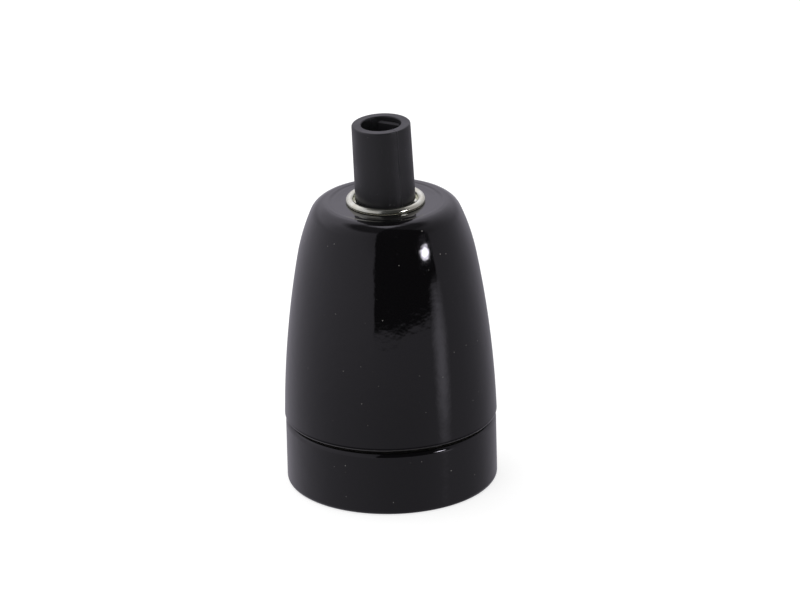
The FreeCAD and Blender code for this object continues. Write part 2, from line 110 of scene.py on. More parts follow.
# ---------------------------------------------------------------- settings
class HolderSizes(bpy.types.PropertyGroup):
    """Sizes of the pieces that are made here, round the holder's own axis"""
    thread_pitch: bpy.props.FloatProperty(
        name="Thread pitch", description="Rise of the shell's rolled thread in one turn",
        default=3.629 * MM, unit="LENGTH", precision=5)
    thread_major: bpy.props.FloatProperty(
        name="Thread major radius", description="Radius at the outer side of the rolled thread",
        default=13.26 * MM, unit="LENGTH", precision=5)
    thread_minor: bpy.props.FloatProperty(
        name="Thread minor radius", description="Radius at the crest that holds the lamp's cap",
        default=12.2 * MM, unit="LENGTH", precision=5)
    thread_sheet: bpy.props.FloatProperty(
        name="Thread sheet", description="Thickness of the rolled sheet",
        default=0.3 * MM, unit="LENGTH", precision=5)
    neck_radius: bpy.props.FloatProperty(
        name="Neck radius", description="Outside of the ring's neck, where the coarse thread stands",
        default=18.9 * MM, unit="LENGTH", precision=5)
    neck_foot: bpy.props.FloatProperty(
        name="Neck foot", description="Height of the ring's shelf, where its neck starts",
        default=15.0 * MM, unit="LENGTH", precision=5)
    neck_pitch: bpy.props.FloatProperty(
        name="Neck thread pitch", description="Rise of the coarse porcelain thread in one turn",
        default=4.0 * MM, unit="LENGTH", precision=5)
    neck_rib: bpy.props.FloatProperty(
        name="Neck thread height", description="How far the rounded rib stands off the neck",
        default=0.32 * MM, unit="LENGTH", precision=5)


class HolderColours(bpy.types.PropertyGroup):
    """Colours of the holder's finishes"""
    glaze: bpy.props.FloatVectorProperty(
        name="Glaze", description="Black glaze", subtype="COLOR", size=3, default=(0.003, 0.0028, 0.0032))
    bare_porcelain: bpy.props.FloatVectorProperty(
        name="Bare porcelain", description="Unglazed foot, neck and inside", subtype="COLOR", size=3,
        default=(0.66, 0.63, 0.56))
    speck: bpy.props.FloatVectorProperty(
        name="Glaze specks", description="Fine pale specks in the glaze", subtype="COLOR", size=3,
        default=(0.22, 0.21, 0.20))
    porcelain: bpy.props.FloatVectorProperty(
        name="White porcelain", description="Insert inside the holder", subtype="COLOR", size=3,
        default=(0.80, 0.79, 0.74))
    nickel: bpy.props.FloatVectorProperty(
        name="Nickel", description="Plated bush on top", subtype="COLOR", size=3, default=(0.82, 0.85, 0.72))
    sheet: bpy.props.FloatVectorProperty(
        name="Nickel sheet", description="Screw shell and centre contact", subtype="COLOR", size=3,
        default=(0.72, 0.69, 0.62))
    brass: bpy.props.FloatVectorProperty(
        name="Brass", description="Terminal blocks and rivets", subtype="COLOR", size=3,
        default=(0.78, 0.60, 0.30))
    zinc: bpy.props.FloatVectorProperty(
        name="Zinc", description="Screws, nut and spring washer", subtype="COLOR", size=3,
        default=(0.62, 0.62, 0.60))
    fibre: bpy.props.FloatVectorProperty(
        name="Fibre", description="Washer under the cap's top", subtype="COLOR", size=3,
        default=(0.30, 0.12, 0.08))
    plastic: bpy.props.FloatVectorProperty(
        name="Plastic", description="Cord grip", subtype="COLOR", size=3, default=(0.012, 0.012, 0.0135))


class StudioSettings(bpy.types.PropertyGroup):
    """Camera and light of the studio"""
    camera_height: bpy.props.FloatProperty(
        name="Camera elevation", description="Angle of the camera above the floor", subtype="ANGLE",
        default=math.radians(22.29))
    camera_roll: bpy.props.FloatProperty(
        name="Camera roll", description="Turn of the camera about its own view", subtype="ANGLE",
        default=math.radians(1.44))
    camera_distance: bpy.props.FloatProperty(
        name="Camera distance", description="From the camera to the middle of the holder", unit="LENGTH",
        default=2.0)
    camera_lens: bpy.props.FloatProperty(
        name="Lens", description="Focal length of the camera", default=403.8, unit="CAMERA")
    daylight: bpy.props.FloatProperty(
        name="Daylight", description="Level of the even light on matt surfaces", default=0.8)


# ---------------------------------------------------------------- node helpers
def add(tree, kind, inputs=(), **settings):
    """Adds a node, with its settings, values and links."""
    new = tree.nodes.new(kind)
    new.location = (200 * (len(tree.nodes) % 8), -260 * (len(tree.nodes) // 8))
    for name, value in settings.items():
        setattr(new, name, value)
    for place, value in dict(inputs).items():
        if isinstance(value, bpy.types.NodeSocket):
            tree.links.new(value, new.inputs[place])
        else:
            new.inputs[place].default_value = value
    return new


def maths(tree, operation, *values, clamp=False):
    """Result of one Math node."""
    return add(tree, "ShaderNodeMath", enumerate(values), operation=operation, use_clamp=clamp).outputs[0]


def step(tree, value, low, high, to_low=0.0, to_high=1.0):
    """Smooth step of a value between two limits."""
    return add(tree, "ShaderNodeMapRange", enumerate((value, low, high, to_low, to_high)),
               interpolation_type="SMOOTHSTEP").outputs[0]


def window(tree, value, middle, half, soft):
    """1 within half of the middle, falling to 0 over the soft edge."""
    away = maths(tree, "ABSOLUTE", maths(tree, "SUBTRACT", value, middle))
    return step(tree, away, half - soft / 2, half + soft / 2, 1.0, 0.0)


def under(tree, value, limit):
    """1 under a limit, given as its middle and the width of its soft edge."""
    middle, width = limit
    return step(tree, value, middle - width / 2, middle + width / 2, 1.0, 0.0)


def over(tree, value, limit):
    """1 over a limit, given as its middle and the width of its soft edge."""
    middle, width = limit
    return step(tree, value, middle - width / 2, middle + width / 2)


def axis_distance(tree, parts):
    """Distance from the holder's axis, from separated coordinates."""
    squares = [maths(tree, "MULTIPLY", parts.outputs[i], parts.outputs[i]) for i in range(2)]
    return maths(tree, "SQRT", maths(tree, "ADD", *squares))


def both(tree, first, second):
    """Where two masks overlap."""
    return maths(tree, "MULTIPLY", first, second)


def either(tree, first, *others):
    """Where any of the masks is."""
    for other in others:
        first = maths(tree, "MAXIMUM", first, other)
    return first


def by_mottle(tree, mottle, low, high):
    """Value that wanders between two limits with a slow mottle."""
    return step(tree, mottle, 0.3, 0.7, low, high)


def blend_colour(tree, share, first, second):
    """Mix of two colours."""
    mix = add(tree, "ShaderNodeMix", data_type="RGBA")
    for place, value in ((0, share), (6, first), (7, second)):
        if isinstance(value, bpy.types.NodeSocket):
            tree.links.new(value, mix.inputs[place])
        else:
            mix.inputs[place].default_value = value if place == 0 else (*value, 1.0)
    return mix.outputs[2]


def blend_value(tree, share, first, second):
    """Mix of two numbers."""
    return add(tree, "ShaderNodeMix", ((0, share), (2, first), (3, second))).outputs[0]


def shaded(colour, share):
    """The colour, darker or lighter by that share."""
    return [share * c for c in colour]


def new_group(name, inputs, outputs):
    """Empty node group with its sockets; returns the group and its input and output nodes."""
    group = bpy.data.node_groups.new(name, "ShaderNodeTree")
    for label, kind, default in inputs:
        socket = group.interface.new_socket(label, in_out="INPUT", socket_type=kind)
        if default is not None:
            socket.default_value = default
    for label, kind in outputs:
        group.interface.new_socket(label, in_out="OUTPUT", socket_type=kind)
    return group, group.nodes.new("NodeGroupInput"), group.nodes.new("NodeGroupOutput")


def place_group(tree, group, inputs):
    """Places a node group in a material and sets its inputs."""
    new = tree.nodes.new("ShaderNodeGroup")
    new.node_tree = group
    for name, value in dict(inputs).items():
        if isinstance(value, bpy.types.NodeSocket):
            tree.links.new(value, new.inputs[name])
        else:
            new.inputs[name].default_value = value
    return new


# ---------------------------------------------------------------- shared effects
def speckle_group():
    """Scattered round spots of mixed size."""
    group, given, result = new_group(
        "Speckle",
        [("Place", "NodeSocketVector", None), ("Cell", "NodeSocketFloat", 3.0),
         ("Radius", "NodeSocketFloat", 0.1), ("Share", "NodeSocketFloat", 0.3)],
        [("Mask", "NodeSocketFloat")])
    scale = maths(group, "DIVIDE", 1.0, given.outputs["Cell"])
    cells = add(group, "ShaderNodeTexVoronoi", {"Vector": given.outputs["Place"], "Scale": scale})
    lot = add(group, "ShaderNodeSeparateColor", {"Color": cells.outputs["Color"]})
    chosen = maths(group, "LESS_THAN", lot.outputs[0], given.outputs["Share"])
    size = maths(group, "MULTIPLY", given.outputs["Radius"],
                 maths(group, "MULTIPLY_ADD", lot.outputs[1], 0.9, 0.4))
    reach = maths(group, "MULTIPLY", size, scale)
    inner = maths(group, "MULTIPLY", reach, 0.5)
    spot = step(group, cells.outputs["Distance"], inner, reach, 1.0, 0.0)
    group.links.new(maths(group, "MULTIPLY", spot, chosen), result.inputs["Mask"])
    return group


def grain_group():
    """Fine even grain, and a slow mottle for colour and shine."""
    group, given, result = new_group(
        "Grain",
        [("Place", "NodeSocketVector", None), ("Grain size", "NodeSocketFloat", 0.2),
         ("Mottle size", "NodeSocketFloat", 8.0)],
        [("Height", "NodeSocketFloat"), ("Mottle", "NodeSocketFloat")])
    fine = add(group, "ShaderNodeTexNoise", {
        "Vector": given.outputs["Place"], "Detail": 3.0,
        "Scale": maths(group, "DIVIDE", 1.0, given.outputs["Grain size"])})
    slow = add(group, "ShaderNodeTexNoise", {
        "Vector": given.outputs["Place"], "Detail": 2.0,
        "Scale": maths(group, "DIVIDE", 1.0, given.outputs["Mottle size"])})
    group.links.new(fine.outputs[0], result.inputs["Height"])
    group.links.new(slow.outputs[0], result.inputs["Mottle"])
    return group


def turning_group():
    """Fine rings left by turning or rolling, round the Z axis."""
    group, given, result = new_group(
        "Turning marks",
        [("Place", "NodeSocketVector", None), ("Line width", "NodeSocketFloat", 0.08)],
        [("Height", "NodeSocketFloat")])
    parts = add(group, "ShaderNodeSeparateXYZ", {"Vector": given.outputs["Place"]})
    angle = maths(group, "ARCTAN2", parts.outputs[1], parts.outputs[0])
    ringed = add(group, "ShaderNodeCombineXYZ", {
        "X": axis_distance(group, parts), "Y": parts.outputs[2],
        "Z": maths(group, "MULTIPLY", angle, 0.6)})
    lines = add(group, "ShaderNodeTexNoise", {
        "Vector": ringed.outputs[0], "Detail": 2.0,
        "Scale": maths(group, "DIVIDE", 1.0, given.outputs["Line width"])})
    group.links.new(lines.outputs[0], result.inputs["Height"])
    return group


def effect(name, maker):
    """The shared effect of that name, made once."""
    return bpy.data.node_groups.get(name) or maker()


def speckles(tree, place, cell, radius, share):
    """Mask of scattered spots; sizes in millimetres."""
    return place_group(tree, effect("Speckle", speckle_group),
                       {"Place": place, "Cell": cell, "Radius": radius, "Share": share}).outputs[0]


def graining(tree, place, grain_size, mottle_size):
    """Height of a fine grain, and a slow mottle; sizes in millimetres."""
    grain = place_group(tree, effect("Grain", grain_group),
                        {"Place": place, "Grain size": grain_size, "Mottle size": mottle_size})
    return grain.outputs["Height"], grain.outputs["Mottle"]


def new_material(name, **constants):
    """Material with a plain shader; returns it with its tree, shader and millimetre coordinates."""
    material = bpy.data.materials.new(name)
    material.use_nodes = True
    tree = material.node_tree
    tree.nodes.clear()
    shader = tree.nodes.new("ShaderNodeBsdfPrincipled")
    output = tree.nodes.new("ShaderNodeOutputMaterial")
    tree.links.new(shader.outputs[0], output.inputs["Surface"])
    for socket, value in constants.items():
        shader.inputs[socket.replace("_", " ")].default_value = value
    place = add(tree, "ShaderNodeTexCoord")
    scaled = add(tree, "ShaderNodeVectorMath", {0: place.outputs["Object"], "Scale": 1 / MM},
                 operation="SCALE")
    return material, tree, shader, scaled.outputs[0]


def connect_bump(tree, shader, height, depth):
    """Bump of that depth, in millimetres, on the shader's normal."""
    bump = add(tree, "ShaderNodeBump", {"Height": height, "Distance": depth * MM, "Strength": 1.0})
    tree.links.new(bump.outputs[0], shader.inputs["Normal"])


def radius_and_height(tree, place):
    """Distance from the holder's axis, and height."""
    parts = add(tree, "ShaderNodeSeparateXYZ", {"Vector": place})
    return axis_distance(tree, parts), parts.outputs[2]


# ---------------------------------------------------------------- finishes
def rim_rings(tree, radius, height, waver):
    """Low rings where the glaze pooled round the cap's flat top, and the rise towards its edge."""
    swayed = maths(tree, "MULTIPLY_ADD", waver, POOLED_RING_SWAY, radius)
    rings = maths(tree, "SINE", maths(tree, "MULTIPLY", swayed, FULL_TURN / POOLED_RING_STEP))
    on_top = both(tree, window(tree, radius, *POOLED_RINGS_R), over(tree, height, FLAT_TOP_Z))
    start, end = DISH_R
    dish = maths(tree, "MULTIPLY", maths(
        tree, "MULTIPLY_ADD", radius, 1 / (end - start), -start / (end - start), clamp=True), DISH_RISE)
    return maths(tree, "MULTIPLY_ADD", both(tree, rings, on_top), POOLED_RING_RISE, dish)


def glaze_material(name, bare_mask):
    """Deep black glaze with faint ripples, pale specks and pits, a painted highlight on the cap's lower
    edge, painted shade beside the seam, and bare porcelain where the mask says.
    """
    colours = bpy.context.scene.holder_colours
    material, tree, shader, place = new_material(name, IOR=1.52)
    radius, height = radius_and_height(tree, place)
    bare = bare_mask(tree, radius, height)
    specks = speckles(tree, place, cell=1.3, radius=0.14, share=0.10)
    pits = speckles(tree, place, cell=2.1, radius=0.16, share=0.10)
    ripple, slow_ripple = graining(tree, place, grain_size=4.5, mottle_size=9.0)
    grain, mottle = graining(tree, place, grain_size=0.35, mottle_size=3.0)
    outside = over(tree, radius, OUTER_WALL_R)
    # painted highlight: the cap's lower edge is drawn paler, as if lit
    painted_edge_highlight = both(tree, window(tree, height, *EDGE_HIGHLIGHT_Z), outside)
    # painted shade: metallic on the black glaze darkens its reflections in bands beside the seam
    painted_seam_shade = both(tree, outside, either(
        tree, window(tree, height, *SEAM_SHADE_CAP_Z), window(tree, height, *SEAM_SHADE_RING_Z)))
    tree.links.new(maths(tree, "MULTIPLY", painted_seam_shade, SEAM_SHADE_SHARE), shader.inputs["Metallic"])
    # both the specks and the painted highlight on the cap's edge pale the glaze
    pale = either(tree, specks, maths(tree, "MULTIPLY", painted_edge_highlight, EDGE_HIGHLIGHT_SHARE))
    glazed = blend_colour(tree, pale, colours.glaze, colours.speck)
    earthy = blend_colour(tree, mottle, shaded(colours.bare_porcelain, 0.82), colours.bare_porcelain)
    tree.links.new(blend_colour(tree, bare, glazed, earthy), shader.inputs["Base Color"])
    shine = by_mottle(tree, slow_ripple, *GLAZE_ROUGHNESS)
    dulled = maths(tree, "MULTIPLY_ADD", specks, SPECK_ROUGHNESS, shine)
    tree.links.new(blend_value(tree, bare, dulled, BARE_ROUGHNESS), shader.inputs["Roughness"])
    pooled = rim_rings(tree, radius, height, slow_ripple)
    waves = maths(tree, "MULTIPLY_ADD", ripple, WAVE_DEPTH, pooled)
    smooth = maths(tree, "MULTIPLY_ADD", pits, -PIT_DEPTH, waves)
    rough = maths(tree, "MULTIPLY", grain, BARE_GRAIN_DEPTH)
    connect_bump(tree, shader, blend_value(tree, bare, smooth, rough), depth=1.0)
    return material


def cap_bare(tree, radius, height):
    """Inside of the cap and its lower edge."""
    low = both(tree, under(tree, radius, CAP_BORE_R), under(tree, height, CAP_SHOULDER_Z))
    high = both(tree, under(tree, radius, CAP_CAVITY_R), under(tree, height, CAP_CEILING_Z))
    return either(tree, low, high, under(tree, radius, CAP_HOLE_R), under(tree, height, CAP_FOOT_Z))


def ring_bare(tree, radius, height):
    """Threaded neck, the bore above the mouth, and the foot that the ring was fired on."""
    neck = both(tree, over(tree, height, NECK_Z), under(tree, radius, NECK_R))
    bore = both(tree, under(tree, radius, RING_BORE_R), over(tree, height, RING_BORE_Z))
    return either(tree, neck, under(tree, height, RING_FOOT_Z), bore)


def porcelain_material():
    """Dense white porcelain, satin, with fine firing specks."""
    colour = bpy.context.scene.holder_colours.porcelain
    material, tree, shader, place = new_material("White porcelain", IOR=1.5)
    grain, mottle = graining(tree, place, grain_size=0.3, mottle_size=5.0)
    specks = speckles(tree, place, cell=2.5, radius=0.09, share=0.12)
    tone = blend_colour(tree, mottle, shaded(colour, 0.9), colour)
    tree.links.new(blend_colour(tree, specks, tone, PORCELAIN_SPECK), shader.inputs["Base Color"])
    tree.links.new(by_mottle(tree, mottle, *PORCELAIN_ROUGHNESS), shader.inputs["Roughness"])
    connect_bump(tree, shader, grain, depth=0.03)
    return material


def metal_material(name, colour, shine, marks_depth, line_width, tarnish=0.12):
    """Metal with turning marks, slow tarnish and fine pits."""
    material, tree, shader, place = new_material(name, Metallic=1.0)
    marks = place_group(tree, effect("Turning marks", turning_group),
                        {"Place": place, "Line width": line_width}).outputs[0]
    grain, mottle = graining(tree, place, grain_size=0.15, mottle_size=2.5)
    specks = speckles(tree, place, cell=0.9, radius=0.06, share=0.12)
    worn = [c * (1 - tarnish) * shade for c, shade in zip(colour, (1.0, 0.97, 0.92))]
    tone = blend_colour(tree, step(tree, mottle, 0.35, 0.7), colour, worn)
    tree.links.new(blend_colour(tree, specks, tone, shaded(colour, 0.35)), shader.inputs["Base Color"])
    dull = maths(tree, "MULTIPLY_ADD", marks, MARKS_ROUGHNESS, shine)
    tree.links.new(maths(tree, "MULTIPLY_ADD", specks, SPECK_ROUGHNESS, dull), shader.inputs["Roughness"])
    height = maths(tree, "MULTIPLY_ADD", marks, 0.7, maths(tree, "MULTIPLY", grain, 0.3))
    connect_bump(tree, shader, height, marks_depth)
    return material


def fibre_material():
    """Red-brown vulcanised fibre."""
    colour = bpy.context.scene.holder_colours.fibre
    material, tree, shader, place = new_material("Fibre", Roughness=0.75)
    grain, mottle = graining(tree, place, grain_size=0.12, mottle_size=1.2)
    tree.links.new(blend_colour(tree, mottle, shaded(colour, 0.6), colour),
                   shader.inputs["Base Color"])
    connect_bump(tree, shader, grain, depth=0.04)
    return material


def plastic_material(name, seam_angle=None):
    """Black moulded plastic with a fine matt grain, dust specks and the mould's parting line."""
    colour = bpy.context.scene.holder_colours.plastic
    material, tree, shader, place = new_material(name, IOR=1.5)
    grain, mottle = graining(tree, place, grain_size=0.16, mottle_size=4.0)
    specks = speckles(tree, place, cell=0.9, radius=0.11, share=0.22)
    tone = blend_colour(tree, mottle, shaded(colour, 0.85), shaded(colour, 1.2))
    tree.links.new(blend_colour(tree, specks, tone, PLASTIC_DUST), shader.inputs["Base Color"])
    tree.links.new(by_mottle(tree, mottle, *PLASTIC_ROUGHNESS), shader.inputs["Roughness"])
    height = maths(tree, "MULTIPLY", grain, 0.012)
    if seam_angle is not None:
        parts = add(tree, "ShaderNodeSeparateXYZ", {"Vector": place})
        above_seat = maths(tree, "SUBTRACT", parts.outputs[2], GRIP_SEAT_Z / MM)
        upright = maths(tree, "MULTIPLY_ADD", above_seat, math.tan(GRIP_LEAN), parts.outputs[0])
        across = maths(tree, "MULTIPLY_ADD", parts.outputs[1], math.sin(seam_angle),
                       maths(tree, "MULTIPLY", upright, math.cos(seam_angle)))
        seam = window(tree, across, 0.0, GRIP_SEAM_HALF, GRIP_SEAM_SOFT)
        height = maths(tree, "MULTIPLY_ADD", seam, GRIP_SEAM_RISE, height)
    connect_bump(tree, shader, height, depth=1.0)
    return material


# ---------------------------------------------------------------- mesh helpers
def new_piece(name, vertices, faces, body, material):
    """Object from mesh data, riding on a body and shaded smooth."""
    mesh = bpy.data.meshes.new(name)
    mesh.from_pydata(vertices, [], faces)
    mesh.validate()
    mesh.polygons.foreach_set("use_smooth", [True] * len(mesh.polygons))
    mesh.materials.append(material)
    piece = bpy.data.objects.new(name, mesh)
    bpy.context.collection.objects.link(piece)
    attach(piece, body)
    return piece


def grid_faces(rows, columns, wrap_columns=False):
    """Quads of a grid of points, stored row by row."""
    faces = []
    for row in range(rows - 1):
        for column in range(columns if wrap_columns else columns - 1):
            here, above = row * columns, (row + 1) * columns
            beside = (column + 1) % columns
            faces.append((here + column, here + beside, above + beside, above + column))
    return faces


def paint(nodes, material):
    """Gives CAD nodes their finish."""
    for name in nodes:
        mesh_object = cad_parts[name]
        if not mesh_object.material_slots:
            raise RuntimeError(f"{name} has no material slot")
        for material_slot in mesh_object.material_slots:
            material_slot.material = material


# ---------------------------------------------------------------- operators
class HOLDER_OT_body(bpy.types.Operator):
    """Glazes the cap and the skirt ring, and rolls the coarse thread on the ring's neck"""
    bl_idname = "holder.body"
    bl_label = "Glazed body"

    def execute(self, context):
        sizes = context.scene.holder_sizes
        paint(["dome_cap"], glaze_material("Black glaze cap", cap_bare))
        ring_glaze = glaze_material("Black glaze ring", ring_bare)
        paint(["skirt_ring"], ring_glaze)
        neck_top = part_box("skirt_ring")[1][2]
        low, high = sizes.neck_foot + NECK_THREAD_END, neck_top - NECK_THREAD_END
        turns = (high - low) / sizes.neck_pitch
        steps = int(turns * RIB_STEPS)
        vertices = []
        for i in range(steps + 1):
            share = i / steps
            angle = FULL_TURN * turns * share
            ease = min(1.0, share / RIB_TAPER, (1 - share) / RIB_TAPER)
            for j in range(RIB_POINTS):
                side = 1 - 2 * j / (RIB_POINTS - 1)
                bulge = (sizes.neck_rib * ease + RIB_SUNK) * math.cos(side * math.pi / 2)
                r = sizes.neck_radius - RIB_SUNK + bulge
                z = low + sizes.neck_pitch * turns * share + side * RIB_HALF_WIDTH
                vertices.append((r * math.cos(angle), r * math.sin(angle), z))
        faces = grid_faces(steps + 1, RIB_POINTS, wrap_columns=True)
        faces += [tuple(reversed(range(RIB_POINTS))),
                  tuple(range(steps * RIB_POINTS, (steps + 1) * RIB_POINTS))]
        new_piece("neck_thread", vertices, faces, "skirt", ring_glaze)
        return {"FINISHED"}


class HOLDER_OT_insert(bpy.types.Operator):
    """Fires the white porcelain insert"""
    bl_idname = "holder.insert"
    bl_label = "Porcelain insert"

    def execute(self, context):
        paint(["insert_core"], porcelain_material())
        return {"FINISHED"}


class HOLDER_OT_shell(bpy.types.Operator):
    """Plates the screw shell and the centre contact, and rolls the lamp thread"""
    bl_idname = "holder.shell"
    bl_label = "Screw shell and contact"

    def execute(self, context):
        sizes = context.scene.holder_sizes
        sheet = metal_material("Nickel sheet", list(context.scene.holder_colours.sheet),
                               shine=0.16, marks_depth=0.006, line_width=0.05)
        paint(["screw_shell", "centre_contact"], sheet)
        low_corner, high_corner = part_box("screw_shell")
        low, high = low_corner[2] + SHELL_LOW_END, high_corner[2] - SHELL_HIGH_END
        run_in = THREAD_RUN_IN * sizes.thread_pitch
        swing = (sizes.thread_major - sizes.thread_minor) / 2
        rows, columns = THREAD_ROWS, THREAD_COLUMNS
        skins = []
        for inward in (0.0, sizes.thread_sheet):
            for i in range(rows + 1):
                z = low + (high - low) * i / rows
                ease = min(1.0, (z - low) / run_in, (high - z) / run_in)
                ease = math.sin(max(0.0, ease) * math.pi / 2) ** 2
                for j in range(columns):
                    angle = FULL_TURN * j / columns
                    wave = math.cos(FULL_TURN * z / sizes.thread_pitch - angle)
                    r = sizes.thread_major - ease * swing * (1 - wave) - inward
                    skins.append((r * math.cos(angle), r * math.sin(angle), z))
        wall = grid_faces(rows + 1, columns, wrap_columns=True)
        offset = (rows + 1) * columns
        faces = wall + [tuple(reversed([k + offset for k in face])) for face in wall]
        for i in (0, rows):
            for j in range(columns):
                a, b = i * columns + j, i * columns + (j + 1) % columns
                rim = (a, a + offset, b + offset, b)
                faces.append(rim if i == 0 else tuple(reversed(rim)))
        new_piece("rolled_thread", skins, faces, "insert", sheet)
        return {"FINISHED"}


class HOLDER_OT_terminals(bpy.types.Operator):
    """Finishes the brass blocks and rivets"""
    bl_idname = "holder.terminals"
    bl_label = "Terminals and rivets"

    def execute(self, context):
        brass = metal_material("Brass", list(context.scene.holder_colours.brass),
                               shine=0.24, marks_depth=0.008, line_width=0.1, tarnish=0.3)
        paint(["live_terminal", "neutral_terminal", "shell_rivet_1", "shell_rivet_2"], brass)
        return {"FINISHED"}


class HOLDER_OT_screws(bpy.types.Operator):
    """Plates the screws, the spring washer and the nut"""
    bl_idname = "holder.screws"
    bl_label = "Screws, spring washer and nut"

    def execute(self, context):
        zinc = metal_material("Zinc", list(context.scene.holder_colours.zinc),
                              shine=0.30, marks_depth=0.008, line_width=0.07, tarnish=0.2)
        paint(["contact_screw", "shell_screw", "live_wire_screw", "neutral_wire_screw", "lock_washer",
               "entry_nut"], zinc)
        return {"FINISHED"}


class HOLDER_OT_bush(bpy.types.Operator):
    """Plates the bush in the cap's top and finishes its fibre washer"""
    bl_idname = "holder.bush"
    bl_label = "Bush and washer"

    def execute(self, context):
        nickel = metal_material("Nickel bush", list(context.scene.holder_colours.nickel),
                                shine=0.15, marks_depth=0.004, line_width=0.09)
        paint(["entry_bush"], nickel)
        paint(["entry_washer"], fibre_material())
        return {"FINISHED"}


class HOLDER_OT_grip(bpy.types.Operator):
    """Moulds the cord grip, its tongue and its clamping screw"""
    bl_idname = "holder.grip"
    bl_label = "Cord grip"

    def execute(self, context):
        paint(["grip_body"], plastic_material("Grip plastic", GRIP_SEAM))
        paint(["grip_screw", "clamp_tongue"], plastic_material("Grip screw plastic"))
        return {"FINISHED"}


# ---------------------------------------------------------------- studio
# Brightness of the dim studio round the compass, below, beside and above the holder:
# (bearing in degrees from the front, level).
LOW_LIGHT = ((-180, 0.25), (-155, 0.45), (-130, 0.56), (-100, 0.48), (-70, 0.40), (-35, 0.36), (0, 0.29),
             (40, 0.30), (62, 0.36), (85, 0.30), (115, 0.29), (135, 0.36), (160, 0.33), (180, 0.25))
MIDDLE_LIGHT = ((-180, 0.62), (-160, 0.62), (-130, 0.68), (-100, 0.65), (-70, 0.53), (-40, 0.47), (0, 0.38),
                (40, 0.34), (80, 0.33), (105, 0.38), (125, 0.48), (145, 0.62), (180, 0.62))
HIGH_LIGHT = ((-180, 1.00), (-165, 0.84), (-140, 0.92), (-120, 1.00), (-100, 0.76), (-75, 0.58), (-40, 0.45),
              (-15, 0.34), (10, 0.16), (60, 0.16), (80, 0.31), (105, 0.38), (125, 0.58), (150, 0.74),
              (180, 1.00))
LOW_TO_MIDDLE = (-22.0, -2.0)             # rises between which one level gives way to the next
MIDDLE_TO_HIGH = (10.0, 24.0)
HIGH_TO_CEILING = (50.0, 64.0)
CEILING_LEVEL = 0.12
DOORWAY_BEARING = (23.5, 40.5, 3.0)       # dark opening in front: (middle, half width, soft edge)
DOORWAY_SILL = (-6.8, 2.0)
DOORWAY_LEVEL = 0.02
# Lit patches: (bearing, half width, rise, half height, where it starts to fade, where it ends, level).
BACK_PATCH = (180.0, 24.0, 72.0, 12.0, 0.3, 1.5, 1.7)
TALL_PATCH = (60.0, 7.5, -12.0, 8.3, 0.1, 1.6, 1.1)
LAMP_PATCH = (53.5, 5.5, 11.5, 3.0, 0.5, 1.5, 30.0)
GREEN_TINT, BLUE_TINT = 0.96, 1.09
WHITE = (1.0, 1.0, 1.0, 1.0)
FLOOR_HALF, FLOOR_STEPS = 3.0, 6
FLOOR_GREY = (0.45, 0.45, 0.45, 1.0)
FLOOR_GLOW = 0.70
LAMP_AIM_HEIGHT = 0.04
AIM_HEIGHT, AIM_RIGHT, AIM_UP = 0.035, 0.002489, 0.006554


def round_compass(tree, compass, levels):
    """Brightness that follows the compass smoothly through the given levels."""
    ramp = add(tree, "ShaderNodeValToRGB", {0: compass})
    ramp.color_ramp.interpolation = "B_SPLINE"
    stops = ramp.color_ramp.elements
    while len(stops) > 1:
        stops.remove(stops[-1])
    stops[0].position = 0.0
    stops[0].color = (levels[0][1],) * 3 + (1.0,)
    for place, brightness in levels[1:]:
        stops.new(place / 360 + 0.5).color = (brightness,) * 3 + (1.0,)
    return ramp.outputs[0]


def lit_patch(tree, level, bearing, rise, patch):
    """Oval patch of light with a soft edge."""
    bearing_middle, bearing_half, rise_middle, rise_half, core, edge, patch_level = patch
    across = maths(tree, "DIVIDE", maths(tree, "SUBTRACT", bearing, bearing_middle), bearing_half)
    upward = maths(tree, "DIVIDE", maths(tree, "SUBTRACT", rise, rise_middle), rise_half)
    squares = maths(tree, "MULTIPLY_ADD", across, across, maths(tree, "MULTIPLY", upward, upward))
    share = step(tree, maths(tree, "SQRT", squares), core, edge, 1.0, 0.0)
    return blend_value(tree, share, level, patch_level)


def studio_level(tree):
    """Brightness of the dim studio in each direction, as shiny surfaces see it."""
    direction = add(tree, "ShaderNodeSeparateXYZ", {
        "Vector": add(tree, "ShaderNodeTexCoord").outputs["Generated"]})
    x, y, z = direction.outputs
    to_degrees = 360 / FULL_TURN
    from_front = maths(tree, "ARCTAN2", x, maths(tree, "MULTIPLY", y, -1.0))
    bearing = maths(tree, "MULTIPLY", from_front, to_degrees)
    rise = maths(tree, "MULTIPLY", maths(tree, "ARCSINE", z), to_degrees)
    compass = maths(tree, "MULTIPLY_ADD", bearing, 1 / 360, 0.5)
    low, middle, high = [round_compass(tree, compass, levels)
                         for levels in (LOW_LIGHT, MIDDLE_LIGHT, HIGH_LIGHT)]
    level = blend_value(tree, step(tree, rise, *LOW_TO_MIDDLE), low, middle)
    level = blend_value(tree, step(tree, rise, *MIDDLE_TO_HIGH), level, high)
    level = blend_value(tree, step(tree, rise, *HIGH_TO_CEILING), level, CEILING_LEVEL)
    level = lit_patch(tree, level, maths(tree, "ABSOLUTE", bearing), rise, BACK_PATCH)
    doorway = both(tree, window(tree, bearing, *DOORWAY_BEARING), over(tree, rise, DOORWAY_SILL))
    level = blend_value(tree, doorway, level, DOORWAY_LEVEL)
    level = lit_patch(tree, level, bearing, rise, TALL_PATCH)
    return lit_patch(tree, level, bearing, rise, LAMP_PATCH)


